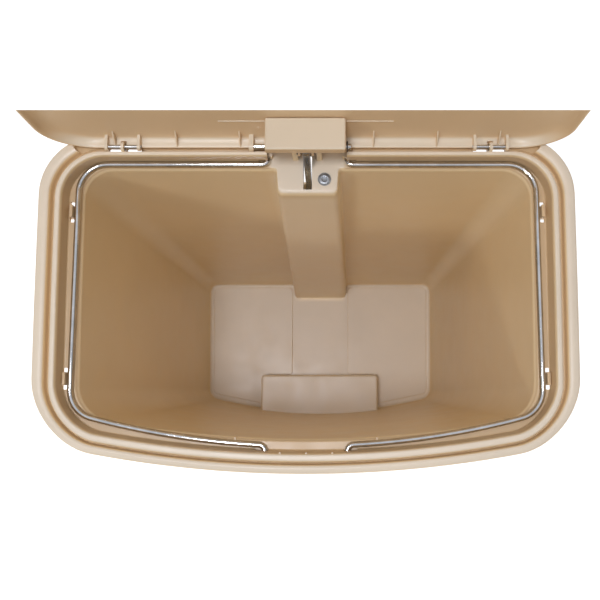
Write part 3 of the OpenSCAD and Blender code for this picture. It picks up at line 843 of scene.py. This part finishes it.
def moulded_plastic(name, colour, roughness, grain=0.12, deep=None, recess=None):
    """Satin polypropylene: faint flow marks in the colour, fine spark-eroded grain, light scuffs.

    deep is painted warm bounce light on upright walls, recess is painted shade in the rim's groove and ledge.
    The column's front gets a painted paler light, so that it stands out from the rear wall.
    """
    s = Shader(name, roughness)
    s.surface.inputs["IOR"].default_value = 1.49
    s.surface.inputs["Specular IOR Level"].default_value = 0.42
    darker = tuple(c * 0.93 for c in colour)
    lighter = tuple(min(1, c * 1.05) for c in colour)
    cloud = s.ramp(s.noise(7, 3), 0.35, 0.68, 0, 1)
    flow = s.ramp(s.noise(3, 5, 0.6, s.stretch(1, 1, 6)), 0.4, 0.62, 0, 1)
    base = s.mix(cloud, darker, colour)
    base = s.mix(flow, base, lighter)
    scuff = s.ramp(s.noise(90, 6, 0.7, s.stretch(1, 0.18, 1)), 0.66, 0.74, 0, 0.35)
    base = s.mix(scuff, base, tuple(min(1, c * 1.14) for c in colour))
    # painted light: walls that stand upright take a warmer tone, by their facing, in place of light bounced inside
    # the bin
    if deep:
        level = s.split(s.facing)
        painted_bounce = s.mix(cloud, tuple(c * 0.95 for c in deep), deep)
        base = s.mix(s.ramp(level, 0.3, 0.85, 1, 0), base, painted_bounce)
    # painted shade: the ledge and the inward wall up to the groove are darkened as if in shade, away from the
    # column
    if recess:
        rim, ledge = RIM_H * MM, LEDGE * MM
        height = s.split(s.where)
        aside = s.math("ABSOLUTE", s.split(s.where, "X"))
        depth = s.split(s.where, "Y")
        below_rim = s.ramp(height, rim - 0.0055, rim - 0.003, 1, 0)
        above_wall = s.ramp(height, ledge - 0.003, ledge - 0.0008, 0, 1)
        inside = s.ramp(s.outward(), 0.045, 0.085, 1, 0)
        strength = s.math("MULTIPLY", s.math("MULTIPLY", below_rim, inside), above_wall)
        past_side, in_front = s.ramp(aside, 0.034, 0.038, 0, 1), s.ramp(depth, 0.05, 0.1, 1, 0)
        off_column = s.math("MAXIMUM", past_side, in_front)
        base = s.mix(s.math("MULTIPLY", strength, off_column), base, recess)
        # painted light: the column's front, up to just under the ledge, is made paler as if lit
        within, behind = s.ramp(aside, 0.031, 0.043, 1, 0), s.ramp(depth, 0.06, 0.066, 0, 1)
        column = s.math("MULTIPLY", s.math("MULTIPLY", within, behind), inside)
        column = s.math("MULTIPLY", column, s.ramp(height, ledge - 0.02, ledge - 0.004, 1, 0))
        painted_column_light = tuple(min(1, c * k) for c, k in zip(deep, (1.05, 1.12, 1.3)))
        base = s.mix(column, base, painted_column_light)
    rough = s.ramp(s.noise(40, 5), 0.3, 0.7, roughness - 0.05, roughness + 0.07)
    fine = s.bump(s.noise(1500, 2, 0.5), grain, 0.0004)
    soft = s.bump(s.noise(22, 2), 0.08, 0.0015, fine)
    return s.finish(base, rough, soft)


def chrome(name):
    s = Shader(name, 0.07, 1.0)
    cloud = s.ramp(s.noise(60, 4), 0.35, 0.7, 0, 1)
    colour = s.mix(cloud, (0.56, 0.55, 0.53), (0.74, 0.72, 0.69))
    rough = s.ramp(s.noise(180, 5), 0.35, 0.75, 0.05, 0.16)
    return s.finish(colour, rough, s.bump(s.noise(320, 3), 0.05, 0.0003))


def brushed_steel(name, low, high, roughness, along, strength=0.12):
    """Rolled or plated steel with fine lines along one axis."""
    s = Shader(name, roughness, 1.0)
    lines = s.noise(90, 4, 0.6, s.stretch(*along))
    blotch = s.ramp(s.noise(45, 4), 0.35, 0.7, 0, 1)
    colour = s.mix(blotch, low, high)
    rough = s.ramp(lines, 0.3, 0.7, roughness - 0.08, roughness + 0.1)
    return s.finish(colour, rough, s.bump(lines, strength, 0.0004))


def rubber(name):
    s = Shader(name, 0.8)
    speck = s.ramp(s.noise(420, 4), 0.4, 0.68, 0, 1)
    colour = s.mix(speck, (0.022, 0.022, 0.023), (0.045, 0.044, 0.043))
    rough = s.ramp(s.noise(60, 3), 0.3, 0.7, 0.7, 0.9)
    return s.finish(colour, rough, s.bump(s.noise(900, 3), 0.25, 0.0005))


def paint(obj, material):
    obj.data.materials.clear()
    obj.data.materials.append(material)


# --- Build ---
BODY_COLOUR = (0.77, 0.65, 0.50)
# painted warm bounce light for the body's upright walls
BODY_PAINTED_BOUNCE = (0.92, 0.725, 0.45)
# painted shade for the rim's groove, ledge and the wall between them
BODY_PAINTED_SHADE = (0.64, 0.455, 0.26)
LID_COLOUR = (0.74, 0.63, 0.475)
# painted warm bounce light for the lid's upright faces
LID_PAINTED_BOUNCE = (0.80, 0.59, 0.36)

BAR_LOW, BAR_HIGH = (0.36, 0.40, 0.48), (0.50, 0.54, 0.62)
STEEL_LOW, STEEL_HIGH = (0.50, 0.50, 0.50), (0.66, 0.66, 0.65)
ZINC_LOW, ZINC_HIGH = (0.30, 0.31, 0.32), (0.44, 0.45, 0.46)
PHOSPHATE_LOW, PHOSPHATE_HIGH = (0.09, 0.09, 0.10), (0.16, 0.16, 0.17)
EVEN = (1, 1, 1)

materials = {
    "body_plastic": moulded_plastic("beige_body", BODY_COLOUR, 0.33, 0.12, BODY_PAINTED_BOUNCE, BODY_PAINTED_SHADE),
    "lid_plastic": moulded_plastic("beige_lid", LID_COLOUR, 0.33, 0.12, LID_PAINTED_BOUNCE),
    "chrome": chrome("bright_chrome"),
    "bar_steel": brushed_steel("bright_bar", BAR_LOW, BAR_HIGH, 0.28, (1, 1, 0.04)),
    "steel": brushed_steel("plated_steel", STEEL_LOW, STEEL_HIGH, 0.34, (0.1, 1, 1)),
    "zinc": brushed_steel("dull_zinc", ZINC_LOW, ZINC_HIGH, 0.45, EVEN, 0.2),
    "clip_steel": brushed_steel("phosphated", PHOSPHATE_LOW, PHOSPHATE_HIGH, 0.5, EVEN, 0.2),
    "nylon": moulded_plastic("natural_nylon", srgb(226, 221, 205), 0.5, 0.06),
    "rubber": rubber("black_rubber"),
}
slot_of = {s["node"]: s["material_slot"] for s in frame["record"]["subparts"]}
body_of = {
    node: body for body, nodes in frame["record"]["behaviour"]["bodies"].items() for node in nodes
}


def place(obj, *nodes):
    """obj stands for these CAD nodes: it rides on their body and takes their finish."""
    node = nodes[0]
    paint(obj, materials[slot_of[node]])
    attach(obj, body_of[node])
    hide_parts(*nodes)


place(build_bin_body(), "bin_body")
place(build_lid_shell(), "lid_shell")
place(build_lid_box(), "lid_box")
place(build_hinge_rod(), "hinge_rod")
place(build_wire(-1), "bag_wire_left")
place(build_wire(1), "bag_wire_right")
place(build_wire_clips(), "wire_clips")
place(build_lift_bar(), "lift_bar")
place(build_guide_bolt(), "guide_bolt")
place(build_pedal_pad(), "pedal_pad")
place(build_pedal_tread(), "pedal_tread")

# Small hardware keeps its CAD shape, with softened edges.
EDGE = {
    "rear_cover": 0.8, "rear_cover_screws": 0.3, "bar_guide": 0.5, "lever_bracket": 0.4,
    "bracket_screws": 0.3, "lever_pin": 0.4, "lever_pin_clips": 0.2, "rubber_feet": 0.6,
    "lid_box_screws": 0.3, "hinge_rod_clip": 0.2, "side_pin_left": 0.2, "side_pin_right": 0.2,
    "lift_pin": 0.3, "lift_pin_clips": 0.1, "bar_shoe": 0.5, "pedal_lever": 0.5,
    "pedal_screws": 0.3,
}
for node, width in EDGE.items():
    kept = frame["nodes"][node]
    paint(kept, materials[slot_of[node]])
    shade(kept, 35)
    bevel(kept, width, 2, 40)
    weighted(kept)


# --- Floor, light and camera ---
ROOM_LIGHT = 0.22
SKY_LIGHT = 0.75
OVERHEAD_WATTS = 22
SIDE_WATTS = 10
COOL, WARM = (0.94, 0.98, 1.08), (1, 0.96, 0.9)


def plain_floor():
    half, thick = 6000, 10
    floor = plate("floor", rounded_rect(-half, half, -half, half, 500, 8), -thick, 0)
    s = Shader("pale_floor", 0.9)
    tone = s.ramp(s.noise(2, 2), 0.3, 0.7, 0, 1)
    colour = s.mix(tone, (0.93, 0.93, 0.93), (0.95, 0.95, 0.95))
    s.surface.inputs["Specular IOR Level"].default_value = 0.1
    s.surface.inputs["Emission Color"].default_value = (1, 1, 1, 1)
    s.surface.inputs["Emission Strength"].default_value = 0.55
    paint(floor, s.finish(colour))


def soft_light(name, where, aim, size, watts, colour):
    data = bpy.data.lights.new(name, "AREA")
    data.shape = "DISK"
    data.size, data.energy, data.color = size, watts, colour
    lamp = bpy.data.objects.new(name, data)
    lamp.location = where
    lamp.rotation_euler = (Vector(aim) - Vector(where)).to_track_quat("-Z", "Y").to_euler()
    bpy.context.scene.collection.objects.link(lamp)


def studio():
    """Broad sky-like softbox overhead, dim warm room at the horizon, and a white surround."""
    world = bpy.data.worlds.new("studio")
    world.use_nodes = True
    tree = world.node_tree

    def add_node(kind, **values):
        made = tree.nodes.new(kind)
        for key, value in values.items():
            made.inputs[key.replace("_", " ")].default_value = value
        return made

    where = add_node("ShaderNodeTexCoord")
    split = add_node("ShaderNodeSeparateXYZ")
    tree.links.new(where.outputs["Generated"], split.inputs[0])
    height = add_node("ShaderNodeMapRange", From_Min=0.35, From_Max=0.95)
    height.interpolation_type = "SMOOTHSTEP"
    tree.links.new(split.outputs["Z"], height.inputs["Value"])
    room = tree.nodes["Background"]
    room.inputs["Color"].default_value = (1, 0.80, 0.58, 1)
    room.inputs["Strength"].default_value = ROOM_LIGHT
    sky = add_node("ShaderNodeBackground", Color=(0.93, 0.98, 1.08, 1), Strength=SKY_LIGHT)
    surround = add_node("ShaderNodeBackground", Color=(1, 1, 1, 1))
    path = add_node("ShaderNodeLightPath")
    lit = add_node("ShaderNodeMixShader")
    seen = add_node("ShaderNodeMixShader")
    tree.links.new(height.outputs["Result"], lit.inputs["Fac"])
    tree.links.new(room.outputs["Background"], lit.inputs[1])
    tree.links.new(sky.outputs["Background"], lit.inputs[2])
    tree.links.new(path.outputs["Is Camera Ray"], seen.inputs["Fac"])
    tree.links.new(lit.outputs["Shader"], seen.inputs[1])
    tree.links.new(surround.outputs["Background"], seen.inputs[2])
    tree.links.new(seen.outputs["Shader"], tree.nodes["World Output"].inputs["Surface"])
    bpy.context.scene.world = world
    soft_light("overhead", (-0.3, -0.25, 3.0), (0, -0.03, 0.4), 0.5, OVERHEAD_WATTS, COOL)
    soft_light("front_left", (-1.7, -1.8, 2.3), (0, 0, 0.5), 0.5, SIDE_WATTS, WARM)
    bpy.context.scene.view_settings.view_transform = "Standard"
    bpy.context.scene.view_settings.look = "None"


def photo_camera():
    """Looks almost straight down into the open bin."""
    data = bpy.data.cameras.new("camera")
    data.sensor_width = 36
    data.lens = 45.36
    data.shift_x = -0.0617
    data.clip_start = 0.005
    camera = bpy.data.objects.new("camera", data)
    camera.location = (0.0282, (RIM_BACK - 242.6) * MM, 1.323)
    camera.rotation_euler = (math.radians(7.163), 0, 0)
    bpy.context.scene.collection.objects.link(camera)
    bpy.context.scene.camera = camera


def crop_card():
    """Small white card just in front of the lens that crops the picture across the lid."""
    camera = bpy.context.scene.camera
    bpy.context.view_layer.update()
    reach, half_w, crop_edge, beyond = 12, 22, 0.2513, 0.45
    rays = [camera.matrix_world.to_3x3() @ Vector((0, t, -1)) for t in (crop_edge, beyond)]
    low, high = (camera.location / MM + ray * (reach / ray.y) for ray in rays)
    x, y = camera.location.x / MM, low.y
    left, right = x - half_w, x + half_w
    corners = [(left, y, low.z), (right, y, low.z), (right, y, high.z), (left, y, high.z)]
    card = mesh_object("crop_card", corners, [[0, 1, 2, 3]])
    card.visible_shadow = card.visible_diffuse = card.visible_glossy = False
    s = Shader("white_card", 1.0)
    glow = s.node("ShaderNodeEmission", Strength=1.2)
    clear = s.node("ShaderNodeBsdfTransparent")
    mix = s.node("ShaderNodeMixShader")
    s.link(s.node("ShaderNodeNewGeometry").outputs["Backfacing"], mix.inputs["Fac"])
    s.link(glow.outputs["Emission"], mix.inputs[1])
    s.link(clear.outputs["BSDF"], mix.inputs[2])
    s.link(mix.outputs["Shader"], s.tree.nodes["Material Output"].inputs["Surface"])
    paint(card, s.material)


plain_floor()
studio()
photo_camera()
crop_card()
